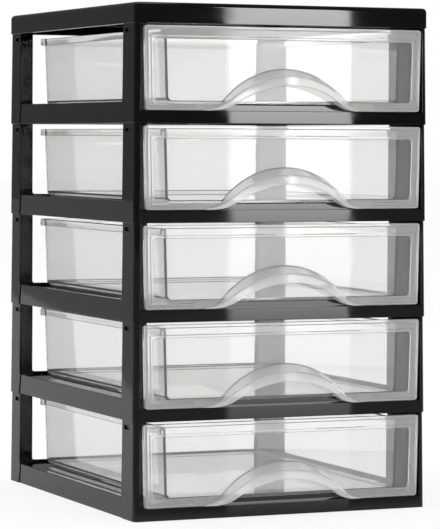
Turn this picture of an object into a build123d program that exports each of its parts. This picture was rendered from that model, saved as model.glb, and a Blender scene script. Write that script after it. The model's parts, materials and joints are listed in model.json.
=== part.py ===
"""Desk-top drawer tower for crafts and small parts.

Five moulded tier frames stand one on the next and a cover closes the top one.
Each frame is an open ring of rails with four L-section corner posts, so the
tower is open at both sides and at the back.  A clear drawer slides in each
tier on the ring's two side shelves.  It is one moulding: a tapered tray with a
turned-down rim, a framed front and an arched hood that the fingers pull.

Millimetres.  +Z up, the drawers open towards -Y, X is left to right.  The
origin is on the floor, in the middle of the overall footprint.
"""

import os
from math import asin, atan, cos, degrees, sin

from build123d import *

os.makedirs("parts", exist_ok=True)

# ---- the tower
tier_count = 5
width = 180.0            # outside of a frame, left to right
depth = 210.0            # outside of a frame, front to back
tier_pitch = 55.0        # one frame on the next
cover_height = 11.5

# ---- black mouldings
wall = 2.4               # frame and cover walls
corner_radius = 3.0      # upright outside corners
draft_step = 0.6         # a tier's outside leans in this much by its top
rail_height = 12.0       # side and back rails
front_bar_height = 7.1   # front rail, under the drawer's front
shelf_top = 10.5         # the drawer runs on this level
shelf_thickness = 2.0
shelf_width = 22.0       # from the frame's outside to the open middle
skirt = 1.8              # wall that hangs under the shelf's inner edge
front_rebate = 5.0       # depth of the step that the drawer's front closes over
post_depth = 20.0        # front posts, front to back
back_post_depth = 18.0
post_leg = 14.0          # leg of the L across the front or back, from the outside
bead_radius = 1.6        # bead along the edge of each front post's leg
door_lip = 1.2           # front posts' front edges turn in this much towards the drawer
window_radius = 1.5      # corners of the side windows
rail_recess = 0.6        # side and back rails lie this far behind the corners
recess_slope = 3.0       # the recess's ends lean by this much over the rail
cover_edge_radius = 2.5
cover_plate = 2.6
cover_rib = 1.6          # stiffening ribs under the cover
cover_rib_depth = 5.0
cover_rib_count = 3

# ---- snap tabs that hold a frame or the cover on the posts below
tab_width = 8.0
tab_thickness = 1.8
tab_reach = 9.0          # below the seam
tab_from_corner = 9.0    # from the frame's front or back to the tab
tab_gap = 0.2            # tab to post wall
slot_drop = 4.5          # top of the post down to the slot's bottom
slot_height = 2.0
slot_width = 7.0
nib_gap = 0.25

# ---- clear drawer
side_gap = 5.2           # frame's outside to the front's edge, at its top
front_lean = 1.0         # each side of the front leans in this much by its foot
front_bottom_gap = 0.2   # front over the front rail
front_top_gap = 1.2      # front under the next frame
front_proud = 1.6        # border stands this far before the frame
border_step = 1.4        # border over the middle panel
border_side = 5.0
border_bottom = 5.0
border_top = 7.3
border_corner = 2.5
panel = 2.0              # thickness of the front panel
tray_wall = 1.6
tray_floor = 1.8
tray_corner = 7.0        # upright corners at the back
floor_chamfer = 2.4      # wall to floor, outside
run_gap = 0.3            # tray over the shelf
rim_gap = 0.6            # rim to the posts' legs
rim_overhang = 2.0
rim_thickness = 1.6
rim_lip = 1.2
rim_height = 4.0
rim_top_gap = 3.0        # rim under the next frame
tray_draft = 1.2         # each wall leans in this much by the floor
back_gap = 5.0           # rim to the inside of the back posts
stop_from_back = 12.6    # rear of the rim to the stop lugs
stop_length = 4.0
stop_reach = 1.6         # lug past the opening between the posts
stop_gap = 0.5           # lug to the post when the drawer is fully open
cut_past = 2.0           # how far a cutting block runs past what it cuts

# ---- pull
pull_reach = 9.7         # hood beyond the border
pull_wall = 1.8
lip_half_span = 44.5
lip_rise = 14.0          # arched lower edge over the front's foot
crease_half_span = 47.5
crease_rise = 19.0
root_half_span = 52.0
root_rise = 23.5
foot_share = 0.3         # share of the arch's two radii that the foot arc takes

# ---- positions worked out from the sizes above
front = (pull_reach + front_proud - depth) / 2    # frame's front plane
back = front + depth
half_width = width / 2
side_inside = half_width - wall
draft_angle = degrees(atan(draft_step / tier_pitch))
leg_inside = half_width - post_leg
door_half = side_inside - door_lip
rim_half = leg_inside - bead_radius / 2 - rim_gap
tray_half = rim_half - rim_overhang
rim_back = back - wall - back_gap
rim_top = tier_pitch - rim_top_gap
tray_bottom = shelf_top + run_gap
front_foot = front_bar_height + front_bottom_gap
front_head = tier_pitch - front_top_gap
border_face = front - front_proud
panel_face = border_face + border_step
panel_back = panel_face + panel
stop_front = rim_back - stop_from_back - stop_length
drawer_travel = stop_front - (front + post_depth) - stop_gap


def at_height(z):
    """Level plane at height z."""
    return Plane.XY.offset(z)


def facing_front(y):
    """Upright plane at y, drawn in X and Z as seen from the front."""
    return Plane(origin=(0, y, 0), x_dir=(1, 0, 0), z_dir=(0, -1, 0))


def plan(x0, x1, y0, y1, z0, z1):
    """Rectangle in plan, raised from z0 to z1."""
    sketch = at_height(z0) * Pos((x0 + x1) / 2, (y0 + y1) / 2) * Rectangle(x1 - x0, y1 - y0)
    return extrude(sketch, z1 - z0)


def both_sides(solid):
    """The solid and its mirror image across the middle plane."""
    return solid + mirror(solid, Plane.YZ)


# ------------------------------------------------------------------ tier frame
def envelope(inset, height):
    """Frame's round-cornered outside, or its square inside: a block that leans in with height."""
    outline = Rectangle(width - 2 * inset, depth - 2 * inset)
    block = extrude(Pos(0, (front + back) / 2) * outline, height, taper=draft_angle)
    return block if inset else fillet(block.edges().group_by(Axis.Z)[1], corner_radius)


def ring_of_rails():
    """Outer rail, shelf and the skirt that hangs under the shelf's inner edge."""
    opening = Pos(0, (front + back) / 2) * RectangleRounded(
        width - 2 * shelf_width, depth - 2 * shelf_width, corner_radius
    )
    skirt_outline = offset(opening, skirt)
    rail = envelope(0, rail_height) - envelope(wall, rail_height)
    shelf = envelope(0, shelf_top) - envelope(0, shelf_top - shelf_thickness)
    shelf -= extrude(opening, rail_height)
    hanging = extrude(skirt_outline, shelf_top) - extrude(opening, rail_height)
    return rail + shelf + hanging


def corner_posts():
    """Four L-section posts: the envelope's corners and the front pair's inner legs."""
    shell = envelope(0, tier_pitch) - envelope(wall, tier_pitch)
    window_top = tier_pitch * 2
    side_window = plan(-width, width, front + post_depth, back - back_post_depth, rail_height, window_top)
    side_window = fillet(side_window.edges().filter_by(Axis.X).group_by(Axis.Z)[0], window_radius)
    back_window = plan(-leg_inside, leg_inside, back - 2 * wall, back + wall, rail_height, window_top)
    back_window = fillet(back_window.edges().filter_by(Axis.Y).group_by(Axis.Z)[0], window_radius)
    doorway = plan(-door_half, door_half, front - wall, front + 2 * wall, 0, window_top)
    posts = shell - side_window - back_window - doorway
    leg_back = front + post_depth
    leg = plan(leg_inside, side_inside + wall / 4, leg_back - wall, leg_back, shelf_top - shelf_thickness, tier_pitch)
    bead = at_height(shelf_top) * Pos(leg_inside + bead_radius / 2, leg_back - wall / 2) * Cylinder(
        bead_radius, tier_pitch - shelf_top, align=(Align.CENTER, Align.CENTER, Align.MIN)
    )
    return posts + both_sides(leg + bead)


def front_bar():
    """Z-section front rail: face, ledge, riser and the shelf behind it, as one profile."""
    ledge = front_bar_height - shelf_thickness
    riser = front + front_rebate
    profile = Plane.YZ * make_face(
        Polyline(
            (front, 0), (front, front_bar_height), (riser, front_bar_height), (riser, shelf_top),
            (riser + 2 * skirt, shelf_top), (riser + 2 * skirt, shelf_top - shelf_thickness),
            (riser + skirt, shelf_top - shelf_thickness), (riser + skirt, ledge),
            (front + wall, ledge), (front + wall, 0), close=True,
        )
    )
    return extrude(profile, side_inside, both=True)


def rail_recesses():
    """Shallow panels between the corners of the side and back rails, with leaning ends."""
    side_face = half_width - rail_recess
    start, end = front + post_depth, back - back_post_depth
    side = Plane.YZ.offset(side_face) * make_face(
        Polyline(
            (start - recess_slope / 2, -1), (start + recess_slope / 2, rail_height + 1),
            (end - recess_slope / 2, rail_height + 1), (end + recess_slope / 2, -1), close=True,
        )
    )
    run = leg_inside - recess_slope
    rear = facing_front(back - rail_recess) * make_face(
        Polyline(
            (-run - recess_slope / 2, -1), (-run + recess_slope / 2, rail_height + 1),
            (run - recess_slope / 2, rail_height + 1), (run + recess_slope / 2, -1), close=True,
        )
    )
    return both_sides(extrude(side, wall)) + extrude(rear, -wall)


def tab_places():
    """Middle of each snap tab along Y: one near the front, one near the back."""
    inset = tab_from_corner + tab_width / 2
    return front + inset, back - inset


def snap_tabs(underside):
    """Tabs from a ring's or the cover's underside, with a nib for the slot below."""
    face = side_inside - draft_step - tab_gap
    tabs = []
    for y in tab_places():
        tongue = plan(face - tab_thickness, face, y - tab_width / 2, y + tab_width / 2, -tab_reach, underside)
        tongue = chamfer(tongue.edges().filter_by(Axis.Y).group_by(Axis.Z)[0], tab_thickness / 3)
        nib_half = slot_width / 2 - nib_gap
        nib_foot = nib_gap - slot_drop
        nib_head = nib_foot + slot_height - 2 * nib_gap
        nib = plan(face - tab_thickness / 2, face + wall * 0.7, y - nib_half, y + nib_half, nib_foot, nib_head)
        tabs.append(tongue + nib)
    return both_sides(tabs[0] + tabs[1])


def snap_slots():
    """Slots through the post walls for the nibs of the frame above."""
    foot = tier_pitch - slot_drop
    slots = [
        plan(side_inside - 2 * wall, half_width + wall, y - slot_width / 2, y + slot_width / 2,
             foot, foot + slot_height)
        for y in tab_places()
    ]
    return both_sides(slots[0] + slots[1])


def tier_frame(has_tabs):
    frame = ring_of_rails() + corner_posts()
    frame -= plan(-door_half, door_half, front - wall, front + front_rebate, 0, tier_pitch)
    frame += front_bar()
    frame -= rail_recesses()
    frame -= snap_slots()
    if has_tabs:
        frame += snap_tabs(shelf_top - shelf_thickness)
    return frame


# ------------------------------------------------------------------ top cover
def top_cover():
    """Shallow upturned tray with rounded top edges, ribs underneath and snap tabs."""
    outline = Pos(0, (front + back) / 2) * RectangleRounded(width, depth, corner_radius)
    body = extrude(outline, cover_height)
    body = fillet(body.edges().group_by(Axis.Z)[-1], cover_edge_radius)
    underside = cover_height - cover_plate
    body -= extrude(offset(outline, -wall), underside)
    spacing = depth / (cover_rib_count + 1)
    for i in range(cover_rib_count):
        y = front + spacing * (i + 1)
        body += plan(-side_inside, side_inside, y - cover_rib / 2, y + cover_rib / 2,
                     underside - cover_rib_depth, underside)
    return body + snap_tabs(underside)


# ------------------------------------------------------------------ drawer
def arch_outline(half_span, rise, y):
    """Area under an arch of three tangent arcs that stands on the front's foot."""
    total = (half_span**2 + rise**2) / (2 * rise)
    foot_radius = total * foot_share
    crest_radius = total - foot_radius
    turn = asin(half_span / total)
    knee_x = crest_radius * sin(turn)
    knee_z = front_foot + rise - crest_radius * (1 - cos(turn))
    half_turn = turn / 2
    foot_mid = (
        half_span - foot_radius * sin(half_turn),
        front_foot + foot_radius * (1 - cos(half_turn)),
    )
    base = front_foot - border_bottom / 2
    edge = Line((half_span, base), (half_span, front_foot)) + [
        ThreePointArc((half_span, front_foot), foot_mid, (knee_x, knee_z)),
        ThreePointArc((knee_x, knee_z), (0, front_foot + rise), (-knee_x, knee_z)),
        ThreePointArc((-knee_x, knee_z), (-foot_mid[0], foot_mid[1]), (-half_span, front_foot)),
        Line((-half_span, front_foot), (-half_span, base)),
        Line((-half_span, base), (half_span, base)),
    ]
    return facing_front(y) * make_face(edge)


def front_outline(y, inset_side=0.0, inset_bottom=0.0, inset_top=0.0, radius=1.5):
    """The front's outline, a little narrower at its foot, or the panel inside its border."""
    head = half_width - side_gap - inset_side
    foot = head - front_lean
    low, high = front_foot + inset_bottom, front_head - inset_top
    outline = make_face(Polyline((-foot, low), (foot, low), (head, high), (-head, high), close=True))
    return facing_front(y) * fillet(outline.vertices(), radius)


def pull_hood():
    """Hood over the finger gap: an arched roof that bulges forward to a crescent lip."""
    reach = border_face - pull_reach

    def bulge(inset):
        """Plan of the hood: an arc that comes forward in the middle."""
        half = root_half_span - inset
        arc = ThreePointArc((-half, panel_face), (0, reach + inset), (half, panel_face))
        return extrude(at_height(0) * make_face(arc + [Line((half, panel_face), (-half, panel_face))]), tier_pitch)

    def dome(inset):
        root = arch_outline(root_half_span - inset, root_rise - inset, panel_face)
        crease = arch_outline(crease_half_span - inset, crease_rise - inset, reach - cut_past / 2)
        return loft([root, crease], ruled=True) & bulge(inset)

    ahead = reach - cut_past
    under_lip = extrude(arch_outline(lip_half_span, lip_rise, ahead), ahead - panel_face)
    below_foot = plan(-half_width, half_width, ahead, panel_face, -front_foot, front_foot)
    return dome(0) - dome(pull_wall) - under_lip - below_foot


def drawer_front():
    """Flat panel with a raised border, cut away at its foot under the pull."""
    panel_plate = extrude(front_outline(panel_face), -panel)
    border = extrude(front_outline(border_face), -border_step)
    border -= extrude(
        front_outline(border_face - cut_past, border_side, border_bottom, border_top, border_corner),
        -border_step - cut_past,
    )
    plate = panel_plate + border
    ahead = border_face - cut_past
    plate -= extrude(arch_outline(lip_half_span, lip_rise, ahead), ahead - panel_back - cut_past)
    return plate


def tray_block(inset, floor_height, radius):
    """Tapered block of the tray's outside or inside, open-ended at the front."""
    length = rim_back - rim_overhang - panel_face
    extra = 3 * tray_corner
    height = rim_top - floor_height
    full = rim_top - tray_bottom
    lean = degrees(atan(tray_draft / full))
    middle = (panel_face - extra + rim_back - rim_overhang) / 2
    outline = Rectangle(2 * (tray_half - inset), length + extra - 2 * inset)
    block = extrude(at_height(rim_top) * Pos(0, middle) * outline, -height, taper=lean)
    block = fillet(block.edges().group_by(Axis.Z)[1], radius)
    return chamfer(block.edges().group_by(Axis.Z)[0], floor_chamfer - inset / 2)


def tray():
    """Walls, floor and panel-wide front wall behind the finger gap."""
    outside = tray_block(0, tray_bottom, tray_corner)
    inside = tray_block(tray_wall, tray_bottom + tray_floor, tray_corner - tray_wall)
    ahead = plan(-half_width, half_width, front - depth, panel_back, 0, tier_pitch)
    body = outside - (inside - ahead)
    body -= plan(-half_width, half_width, front - depth, panel_face, 0, tier_pitch)
    return body


def tray_rim():
    """Rim that turns out and down along both sides and the back, with two stop lugs."""
    extra = 3 * tray_corner
    middle = (panel_face - extra + rim_back) / 2
    outer = Pos(0, middle) * RectangleRounded(2 * rim_half, rim_back - panel_face + extra, tray_corner + rim_overhang)
    flat = extrude(at_height(rim_top) * outer, -rim_thickness)
    lip = extrude(at_height(rim_top) * outer, -rim_height) - extrude(
        at_height(rim_top) * offset(outer, -rim_lip), -rim_height
    )
    rim = flat + lip
    rim -= plan(-half_width, half_width, front - depth, panel_back - panel / 4, 0, tier_pitch)
    rim -= tray_block(tray_wall / 2, tray_bottom, tray_corner - tray_wall / 2)
    lug_side = leg_inside + stop_reach
    lug = plan(rim_half - rim_lip / 2, lug_side, stop_front, stop_front + stop_length, rim_top - rim_height, rim_top)
    lug = chamfer(lug.edges().filter_by(Axis.Z).group_by(Axis.X)[-1].group_by(Axis.Y)[-1], stop_reach * 0.9)
    return rim + both_sides(lug)


def drawer():
    return tray() + tray_rim() + drawer_front() + pull_hood()


# ------------------------------------------------------------------ the assembly
first_frame = tier_frame(has_tabs=False)
upper_frame = tier_frame(has_tabs=True)
clear_drawer = drawer()

for tier in range(1, tier_count + 1):
    level = Pos(0, 0, (tier - 1) * tier_pitch)
    frame = first_frame if tier == 1 else upper_frame
    export_step(level * frame, f"parts/tier_frame_{tier}.step")
    export_step(level * clear_drawer, f"parts/drawer_{tier}.step")

export_step(Pos(0, 0, tier_count * tier_pitch) * top_cover(), "parts/top_cover.step")

print(f"height {tier_count * tier_pitch + cover_height:.1f}, drawer travel {drawer_travel:.1f}")
print(f"frame front at y {front:.2f}, back at {back:.2f}")
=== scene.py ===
import json
from math import radians

import bmesh
import bpy
from mathutils import Matrix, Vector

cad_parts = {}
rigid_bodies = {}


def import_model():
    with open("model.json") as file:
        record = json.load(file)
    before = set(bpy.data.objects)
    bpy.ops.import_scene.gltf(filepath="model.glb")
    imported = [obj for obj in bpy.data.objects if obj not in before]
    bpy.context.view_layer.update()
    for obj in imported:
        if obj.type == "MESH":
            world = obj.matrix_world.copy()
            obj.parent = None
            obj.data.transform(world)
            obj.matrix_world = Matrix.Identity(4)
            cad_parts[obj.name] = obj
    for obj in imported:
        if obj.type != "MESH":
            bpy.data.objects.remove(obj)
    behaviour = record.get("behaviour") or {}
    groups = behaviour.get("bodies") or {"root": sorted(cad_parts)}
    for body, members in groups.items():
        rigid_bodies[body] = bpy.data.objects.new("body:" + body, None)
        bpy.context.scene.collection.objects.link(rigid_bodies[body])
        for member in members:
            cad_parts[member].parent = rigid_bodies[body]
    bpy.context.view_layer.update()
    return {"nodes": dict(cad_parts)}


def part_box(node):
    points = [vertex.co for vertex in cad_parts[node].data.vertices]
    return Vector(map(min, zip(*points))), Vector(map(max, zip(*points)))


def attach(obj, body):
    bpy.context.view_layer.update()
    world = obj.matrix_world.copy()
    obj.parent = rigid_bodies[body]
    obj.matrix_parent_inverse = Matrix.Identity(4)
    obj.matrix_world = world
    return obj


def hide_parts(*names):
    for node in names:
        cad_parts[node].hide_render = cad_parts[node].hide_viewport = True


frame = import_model()
bpy.ops.object.select_all(action="DESELECT")

# ---- camera
# It stands about 1.7 m away, in front of the tower's left corner and at two thirds of its
# height, with a long lens that looks slightly down.
camera_place = (-0.6574, -1.5381, 0.2123)
camera_yaw = radians(23.26)
camera_drop = radians(2.58)
camera_roll = radians(0.24)
focal_pixels = 2819.0
image_height_pixels = 529

bpy.ops.object.camera_add(location=camera_place)
camera = bpy.context.object
camera.name = "camera"
camera.matrix_world = (
    Matrix.Translation(camera_place)
    @ Matrix.Rotation(-camera_yaw, 4, "Z")
    @ Matrix.Rotation(radians(90) - camera_drop, 4, "X")
    @ Matrix.Rotation(camera_roll, 4, "Z")
)
camera.data.sensor_width = 36.0
camera.data.lens = focal_pixels / image_height_pixels * camera.data.sensor_width
camera.data.clip_end = 100.0
bpy.context.scene.camera = camera
bpy.context.scene.view_settings.view_transform = "Standard"

# ---- room
# A white photographer's room.  It is dim as the black gloss mirrors it, darkest in front of
# the tower, and white for all that is seen through the clear drawers.
room_light = 1.0
mirrored_room_front = 0.05
mirrored_room_back = 0.16
room_blend = 0.6                # between directions of this much Y, to the front and to the back


def math_node(nodes, links, operation, first, second):
    """Math node on two sockets or numbers; its result."""
    node = nodes.new("ShaderNodeMath")
    node.operation = operation
    for socket, value in zip(node.inputs, (first, second)):
        if isinstance(value, (int, float)):
            socket.default_value = value
        else:
            links.new(value, socket)
    return node.outputs[0]


def ramp(nodes, links, value, low, high, to_low=0.0, to_high=1.0, shape="SMOOTHSTEP"):
    """Map Range node: value from low..high to to_low..to_high."""
    node = nodes.new("ShaderNodeMapRange")
    node.interpolation_type = shape
    links.new(value, node.inputs["Value"])
    for name, level in (("From Min", low), ("From Max", high), ("To Min", to_low), ("To Max", to_high)):
        if isinstance(level, (int, float)):
            node.inputs[name].default_value = level
        else:
            links.new(level, node.inputs[name])
    return node.outputs["Result"]


world = bpy.data.worlds.new("white_room")
bpy.context.scene.world = world
world.use_nodes = True
nodes, links = world.node_tree.nodes, world.node_tree.links
path = nodes.new("ShaderNodeLightPath").outputs
direction = nodes.new("ShaderNodeSeparateXYZ")
links.new(nodes.new("ShaderNodeTexCoord").outputs["Generated"], direction.inputs[0])
mirrored = ramp(
    nodes, links, direction.outputs["Y"], -room_blend, room_blend, mirrored_room_front, mirrored_room_back
)
unseen = ramp(nodes, links, path["Is Glossy Ray"], 0.0, 1.0, room_light, mirrored, "LINEAR")
through_clear = math_node(nodes, links, "MINIMUM", path["Transmission Depth"], 1.0)
seen = math_node(nodes, links, "MAXIMUM", path["Is Camera Ray"], through_clear)
strength = ramp(nodes, links, seen, 0.0, 1.0, unseen, 1.0, "LINEAR")
nodes["Background"].inputs["Color"].default_value = (1, 1, 1, 1)
links.new(strength, nodes["Background"].inputs["Strength"])

# ---- floor
# A white table.  The tower's left faces mirror the part of it that lies behind, up to the table's left
# edge; its front faces mirror the dark in front and a painted reflection of the strip light, a band of
# glow painted on the table that only mirrored rays see.
table_edge_at = -0.219          # where the left edge crosses the middle line, along X
table_edge_slant = 0.273        # the edge moves left this much for each metre further back
table_edge_blur = 0.01
mirrored_table = 0.58
strip_left, strip_right = 0.568, 0.721
strip_y = -1.5
soft_edge = 0.004               # of the light's left side, in bearing
right_side_sharper = 6          # times
painted_reflection_start = -0.12             # the painted reflection lies on the floor from the light up to here, along Y
painted_reflection_blur = 0.02
painted_reflection_near_light, painted_reflection_near_tower = 4.0, 0.7
floor_radius = 12.0
floor_white = 0.97
glow_share = 0.8                # of what the camera and the gloss see; the rest takes the shadow
front_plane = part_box("tier_frame_1")[0].y

bpy.ops.mesh.primitive_circle_add(vertices=96, radius=floor_radius, fill_type="NGON", location=(0, 0, 0))
floor = bpy.context.object
floor.name = "floor"
material = bpy.data.materials.new("white_table")
material.use_nodes = True
nodes, links = material.node_tree.nodes, material.node_tree.links
shader = nodes["Principled BSDF"]
shader.inputs["Base Color"].default_value = (floor_white, floor_white, floor_white, 1)
shader.inputs["Roughness"].default_value = 0.7
path = nodes.new("ShaderNodeLightPath").outputs
place = nodes.new("ShaderNodeSeparateXYZ")
links.new(nodes.new("ShaderNodeTexCoord").outputs["Object"], place.inputs[0])
x, y = place.outputs["X"], place.outputs["Y"]
beyond_edge = math_node(nodes, links, "MULTIPLY_ADD", y, table_edge_slant)
links.new(x, beyond_edge.node.inputs[2])
table = ramp(
    nodes, links, beyond_edge,
    table_edge_at - table_edge_blur, table_edge_at + table_edge_blur, mirrored_room_back, mirrored_table,
)
# seen in the front faces, the camera stands as far behind the front plane as it is before it
mirrored_camera_y = 2 * front_plane - camera_place[1]
across = math_node(nodes, links, "SUBTRACT", x, camera_place[0])
along = math_node(nodes, links, "SUBTRACT", mirrored_camera_y, y)
bearing = math_node(nodes, links, "DIVIDE", across, along)
strip_distance = mirrored_camera_y - strip_y
left_bearing = (strip_left - camera_place[0]) / strip_distance
right_bearing = (strip_right - camera_place[0]) / strip_distance
# painted reflection of the strip light: a band of glow on the floor, at the bearings where the front faces
# mirror the light
painted_reflection = math_node(
    nodes, links, "MULTIPLY",
    ramp(nodes, links, bearing, left_bearing, left_bearing + soft_edge),
    ramp(nodes, links, bearing, right_bearing, right_bearing + soft_edge / right_side_sharper, 1.0, 0.0),
)
# the painted reflection is brighter near the light and fainter near the tower
fading = ramp(nodes, links, y, strip_y, painted_reflection_start, painted_reflection_near_light, painted_reflection_near_tower, "LINEAR")
painted_reflection = math_node(nodes, links, "MULTIPLY", painted_reflection, fading)
ahead = math_node(nodes, links, "ADD", painted_reflection, mirrored_room_front)
mirrored = ramp(nodes, links, y, painted_reflection_start - painted_reflection_blur, painted_reflection_start + painted_reflection_blur, ahead, table)
through_clear = math_node(nodes, links, "MINIMUM", path["Transmission Depth"], 1.0)
either = math_node(nodes, links, "MAXIMUM", path["Is Camera Ray"], through_clear)
mirrored_only = math_node(nodes, links, "SUBTRACT", path["Is Glossy Ray"], either)
mirrored_only.node.use_clamp = True
any_view = math_node(nodes, links, "MAXIMUM", either, path["Is Glossy Ray"])
# for mirrored rays alone the floor glows with the painted reflection and the table's level; the camera
# sees it evenly white
glow = nodes.new("ShaderNodeEmission")
links.new(ramp(nodes, links, mirrored_only, 0.0, 1.0, 1.0, mirrored, "LINEAR"), glow.inputs["Strength"])
mix = nodes.new("ShaderNodeMixShader")
links.new(math_node(nodes, links, "MULTIPLY", any_view, glow_share), mix.inputs["Fac"])
links.new(shader.outputs[0], mix.inputs[1])
links.new(glow.outputs[0], mix.inputs[2])
links.new(mix.outputs[0], nodes["Material Output"].inputs["Surface"])
floor.data.materials.append(material)

# ---- lights
# A large softbox overhead, and a tall narrow light at the front right that the gloss mirrors
# as an upright band, brighter towards its top.
softbox_place = (-0.2, 0.3, 1.9)
softbox_side = 1.6
softbox_watts = 12.0
strip_height = 0.62
strip_foot_strength, strip_head_strength = 3.7, 18.0

bpy.ops.object.light_add(type="AREA", location=softbox_place)
softbox = bpy.context.object
softbox.name = "overhead_softbox"
softbox.data.size = softbox_side
softbox.data.energy = softbox_watts

bpy.ops.mesh.primitive_plane_add(
    size=1.0,
    location=((strip_left + strip_right) / 2, strip_y, strip_height / 2),
    rotation=(radians(-90), 0, 0),
)
strip = bpy.context.object
strip.name = "front_strip"
strip.scale = (strip_right - strip_left, strip_height, 1.0)
bpy.ops.object.transform_apply(location=True, rotation=True, scale=True)
strip.visible_camera = False
strip.visible_transmission = False
strip.visible_shadow = False
material = bpy.data.materials.new("strip_light")
material.use_nodes = True
nodes, links = material.node_tree.nodes, material.node_tree.links
place = nodes.new("ShaderNodeSeparateXYZ")
links.new(nodes.new("ShaderNodeTexCoord").outputs["Object"], place.inputs[0])
fading = ramp(
    nodes, links, place.outputs["Z"], 0.0, strip_height, strip_foot_strength, strip_head_strength, "LINEAR"
)
edge = ramp(nodes, links, place.outputs["X"], strip_left, strip_left + soft_edge * strip_distance)
glow = nodes.new("ShaderNodeEmission")
links.new(math_node(nodes, links, "MULTIPLY", fading, edge), glow.inputs["Strength"])
links.new(glow.outputs[0], nodes["Material Output"].inputs["Surface"])
strip.data.materials.append(material)

# ---- tier frames
# Five black glossy mouldings, each a ring of rails with four corner posts, stacked and
# snapped into each other.  Only the lowest has no snap tabs.  Every outside edge is slightly
# round.
frame_edge_radius = 0.0003
black_colour = (0.0032, 0.0032, 0.0034)
black_streak_colour = (0.0046, 0.0046, 0.0048)
sharp_angle = radians(32)
same_point = 0.00002            # corners nearer than this are one
shortest_edge = 0.00005
flat_angle = radians(0.8)       # faces that turn less than this are one flat face
most_out_of_place = 0.7         # of the radius: a rounded corner further off goes back
bar_end = 0.08                  # the front bar's plain stretch ends here, either side
tier_count = 5
tier_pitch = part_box("tier_frame_1")[1].z
wave_scale, dust_scale, streak_scale = 38.0, 900.0, 60.0
streak_stretch = (0.25, 0.25, 2.2)      # the streaks lie flat
streak_from, streak_full = 0.35, 0.7    # of the noise


def moulded_surface():
    """Node group: what moulding leaves on a shiny face, slow waves, streaks of flow and dust."""
    group = bpy.data.node_groups.new("moulded_surface", "ShaderNodeTree")
    sockets = group.interface
    sockets.new_socket("Place", in_out="INPUT", socket_type="NodeSocketVector")
    sockets.new_socket("Roughness", in_out="INPUT", socket_type="NodeSocketFloat")
    sockets.new_socket("Spread", in_out="INPUT", socket_type="NodeSocketFloat")
    sockets.new_socket("Roughness", in_out="OUTPUT", socket_type="NodeSocketFloat")
    sockets.new_socket("Height", in_out="OUTPUT", socket_type="NodeSocketFloat")
    sockets.new_socket("Streaks", in_out="OUTPUT", socket_type="NodeSocketFloat")
    nodes, links = group.nodes, group.links
    given = nodes.new("NodeGroupInput").outputs
    result = nodes.new("NodeGroupOutput").inputs

    def noise(vector, scale, detail):
        node = nodes.new("ShaderNodeTexNoise")
        node.inputs["Scale"].default_value = scale
        node.inputs["Detail"].default_value = detail
        links.new(vector, node.inputs["Vector"])
        return node.outputs["Fac"]

    waves = noise(given["Place"], wave_scale, 1.0)
    dust = noise(given["Place"], dust_scale, 3.0)
    stretched = nodes.new("ShaderNodeMapping")
    stretched.inputs["Scale"].default_value = streak_stretch
    links.new(given["Place"], stretched.inputs["Vector"])
    flow = noise(stretched.outputs[0], streak_scale, 3.0)
    streaks = ramp(nodes, links, flow, streak_from, streak_full)
    both = math_node(nodes, links, "ADD", dust, streaks)
    varied = math_node(nodes, links, "MULTIPLY", both, given["Spread"])
    links.new(math_node(nodes, links, "ADD", varied, given["Roughness"]), result["Roughness"])
    links.new(waves, result["Height"])
    links.new(streaks, result["Streaks"])
    return group


def plastic(name, colour, streak_colour, roughness, spread, wave_depth, transmission=0.0, ior=1.5):
    """Moulded plastic: a colour with faint streaks, slightly uneven gloss and slow waves."""
    material = bpy.data.materials.new(name)
    material.use_nodes = True
    nodes, links = material.node_tree.nodes, material.node_tree.links
    shader = nodes["Principled BSDF"]
    shader.inputs["IOR"].default_value = ior
    shader.inputs["Transmission Weight"].default_value = transmission
    surface = nodes.new("ShaderNodeGroup")
    surface.node_tree = bpy.data.node_groups.get("moulded_surface") or moulded_surface()
    surface.inputs["Roughness"].default_value = roughness
    surface.inputs["Spread"].default_value = spread
    links.new(nodes.new("ShaderNodeTexCoord").outputs["Object"], surface.inputs["Place"])
    mix = nodes.new("ShaderNodeMix")
    mix.data_type = "RGBA"
    colour_sockets = [socket for socket in mix.inputs if socket.type == "RGBA"]
    colour_sockets[0].default_value = (*colour, 1)
    colour_sockets[1].default_value = (*streak_colour, 1)
    links.new(surface.outputs["Streaks"], mix.inputs["Factor"])
    mixed = [socket for socket in mix.outputs if socket.type == "RGBA"][0]
    links.new(mixed, shader.inputs["Base Color"])
    links.new(surface.outputs["Roughness"], shader.inputs["Roughness"])
    bump = nodes.new("ShaderNodeBump")
    bump.inputs["Distance"].default_value = wave_depth
    links.new(surface.outputs["Height"], bump.inputs["Height"])
    links.new(bump.outputs["Normal"], shader.inputs["Normal"])
    return material


def pick(piece):
    """Selects this piece alone and makes it the active one."""
    bpy.ops.object.select_all(action="DESELECT")
    piece.select_set(True)
    bpy.context.view_layer.objects.active = piece


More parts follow.
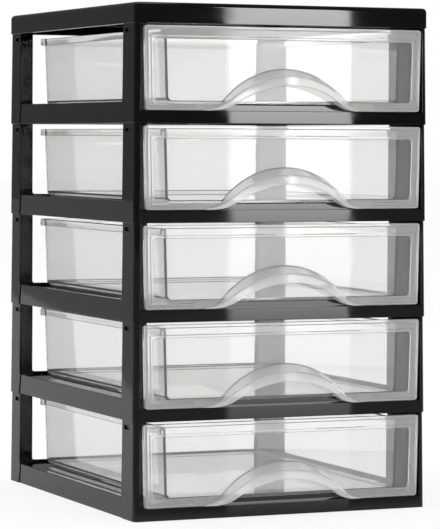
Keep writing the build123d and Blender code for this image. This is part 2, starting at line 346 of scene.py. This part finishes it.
def rounded_moulding(node_name, name, edge_radius, cuts=()):
    """The CAD node's form as one merged piece, its outside edges slightly round.

    Long faces are divided at the given places along X first.
    """
    node = frame["nodes"][node_name]
    pick(node)
    bpy.ops.object.duplicate()
    piece = bpy.context.object
    bpy.ops.object.parent_clear(type="CLEAR")
    piece.name = name
    piece.data.name = name
    for key in list(piece.keys()):
        del piece[key]
    piece.data.materials.clear()
    bpy.ops.object.mode_set(mode="EDIT")
    bpy.ops.mesh.select_all(action="SELECT")
    bpy.ops.mesh.customdata_custom_splitnormals_clear()
    bpy.ops.mesh.remove_doubles(threshold=same_point)
    bpy.ops.mesh.dissolve_degenerate(threshold=shortest_edge)
    bpy.ops.mesh.dissolve_limited(angle_limit=flat_angle)
    for x in cuts:
        bpy.ops.mesh.select_all(action="SELECT")
        bpy.ops.mesh.bisect(plane_co=(x, 0, 0), plane_no=(1, 0, 0))
    bpy.ops.mesh.select_mode(type="EDGE")
    bpy.ops.mesh.select_all(action="DESELECT")
    drawn = bmesh.from_edit_mesh(piece.data)
    for edge in drawn.edges:
        sharp = edge.is_manifold and edge.calc_face_angle() > sharp_angle
        edge.select_set(sharp and edge.is_convex)
    bmesh.update_edit_mesh(piece.data)
    bpy.ops.mesh.bevel(offset=edge_radius, segments=3, affect="EDGES", clamp_overlap=False)
    bpy.ops.object.mode_set(mode="OBJECT")
    # a corner with no room for its rounding goes back onto the moulding's face
    for vertex in piece.data.vertices:
        _, nearest, _, _ = node.closest_point_on_mesh(vertex.co)
        if (vertex.co - nearest).length > edge_radius * most_out_of_place:
            vertex.co = nearest
    return piece


def shade_round_edges(piece):
    """Smooth shading over the rounded edges that leaves the large faces flat."""
    pick(piece)
    bpy.ops.object.shade_smooth_by_angle(angle=sharp_angle)
    flat_faces = piece.modifiers.new("flat_faces", "WEIGHTED_NORMAL")
    flat_faces.weight = 100
    flat_faces.keep_sharp = True
    bpy.ops.object.modifier_apply(modifier=flat_faces.name)


def raised_copy(piece, name, height):
    """A copy with its own mesh, higher up."""
    pick(piece)
    bpy.ops.object.duplicate()
    copy = bpy.context.object
    copy.name = name
    copy.data.name = name
    bpy.ops.transform.translate(value=(0, 0, height))
    bpy.ops.object.transform_apply(location=True, rotation=False, scale=False)
    return copy


black_plastic = plastic(
    "black_gloss_plastic", black_colour, black_streak_colour,
    roughness=0.015, spread=0.015, wave_depth=0.00004,
)

bar_ends = (-bar_end, bar_end)
frames = [rounded_moulding("tier_frame_1", "moulded_frame_1", frame_edge_radius, bar_ends)]
upper_frame = rounded_moulding("tier_frame_2", "moulded_frame_2", frame_edge_radius, bar_ends)
frames.append(upper_frame)
for piece in frames:
    shade_round_edges(piece)
for tier in range(3, tier_count + 1):
    frames.append(raised_copy(upper_frame, f"moulded_frame_{tier}", tier_pitch * (tier - 2)))
for tier, piece in enumerate(frames, start=1):
    piece.data.materials.append(black_plastic)
    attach(piece, "tower")
    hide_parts(f"tier_frame_{tier}")

# ---- top cover
# A shallow black tray, moulded upside down, that snaps onto the fifth frame.
cover_edge_radius = 0.0003

cover = rounded_moulding("top_cover", "moulded_cover", cover_edge_radius)
shade_round_edges(cover)
cover.data.materials.append(black_plastic)
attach(cover, "tower")
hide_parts("top_cover")

# ---- drawers
# Five clear, slightly milky mouldings: tray, rim, framed front and arched pull in one piece.
# The front's border is a shallow channel between two rims.  The border and the pull are
# satin, the panel and the walls are polished.
drawer_edge_radius = 0.0004
clear_ior = 1.42
clear_colour = (1.0, 0.996, 0.984)
clear_streak_colour = (0.995, 0.991, 0.979)
most_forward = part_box("drawer_1")[0].y            # the pull's lip
border_face = most_forward + 0.0097
satin_from = most_forward + 0.0103                # faces that reach before this are satin
front_foot, front_head = 0.0072, 0.0537           # of the lowest drawer's front, along Z
front_foot_half, front_head_half = 0.0838, 0.0848
border_side, border_bottom, border_top = 0.005, 0.005, 0.0073
rim_width = 0.0014
channel_depth = 0.0004
channel_slope = 0.0005                            # its sides draw in this much towards its floor
channel_end = 0.0535                              # at the foot it stops beside the pull

clear_plastic = plastic(
    "clear_milky_plastic", clear_colour, clear_streak_colour,
    roughness=0.01, spread=0.015, wave_depth=0.00002, transmission=0.9, ior=clear_ior,
)
satin_plastic = plastic(
    "satin_clear_plastic", clear_colour, clear_streak_colour,
    roughness=0.05, spread=0.03, wave_depth=0.00002, transmission=0.74, ior=clear_ior,
)


def front_half_width(z):
    """Half the front's width at this height; its sides draw in a little towards the foot."""
    up = (z - front_foot) / (front_head - front_foot)
    return front_foot_half + up * (front_head_half - front_foot_half)


def channel_outline(margin):
    """The channel's corners as (x, z), once round, this far inside the border's edges."""
    low = front_foot + margin
    high = front_head - margin
    inner_low = front_foot + border_bottom - margin
    inner_high = front_head - border_top + margin
    outer = [
        (channel_end + margin, low),
        (front_half_width(low) - margin, low),
        (front_half_width(high) - margin, high),
    ]
    inner = [
        (front_half_width(inner_high) - border_side + margin, inner_high),
        (front_half_width(inner_low) - border_side + margin, inner_low),
        (channel_end + margin, inner_low),
    ]
    left_outer = [(-x, z) for x, z in reversed(outer)]
    left_inner = [(-x, z) for x, z in reversed(inner)]
    return outer + left_outer + left_inner + inner


def cut_channel(piece):
    """Cuts the channel into the border of the piece's front."""
    ahead = [(x, border_face - channel_depth, z) for x, z in channel_outline(rim_width - channel_slope)]
    inside = [(x, border_face + channel_depth, z) for x, z in channel_outline(rim_width + channel_slope)]
    count = len(ahead)
    faces = [tuple(reversed(range(count))), tuple(range(count, 2 * count))]
    faces += [(i, (i + 1) % count, (i + 1) % count + count, i + count) for i in range(count)]
    cutter_mesh = bpy.data.meshes.new("channel_cutter")
    cutter_mesh.from_pydata(ahead + inside, [], faces)
    cutter = bpy.data.objects.new("channel_cutter", cutter_mesh)
    bpy.context.collection.objects.link(cutter)
    pick(cutter)
    bpy.ops.object.mode_set(mode="EDIT")
    bpy.ops.mesh.select_all(action="SELECT")
    bpy.ops.mesh.normals_make_consistent(inside=False)
    bpy.ops.object.mode_set(mode="OBJECT")
    pick(piece)
    channel = piece.modifiers.new("channel", "BOOLEAN")
    channel.operation = "DIFFERENCE"
    channel.object = cutter
    bpy.ops.object.modifier_apply(modifier=channel.name)
    bpy.data.objects.remove(cutter)


lowest_drawer = rounded_moulding("drawer_1", "moulded_drawer_1", drawer_edge_radius)
cut_channel(lowest_drawer)
shade_round_edges(lowest_drawer)
lowest_drawer.data.materials.append(clear_plastic)
lowest_drawer.data.materials.append(satin_plastic)
for face in lowest_drawer.data.polygons:
    if min(lowest_drawer.data.vertices[i].co.y for i in face.vertices) < satin_from:
        face.material_index = 1
drawers = [lowest_drawer]
for tier in range(2, tier_count + 1):
    drawers.append(raised_copy(lowest_drawer, f"moulded_drawer_{tier}", tier_pitch * (tier - 1)))
for tier, piece in enumerate(drawers, start=1):
    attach(piece, f"drawer_{tier}")
    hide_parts(f"drawer_{tier}")
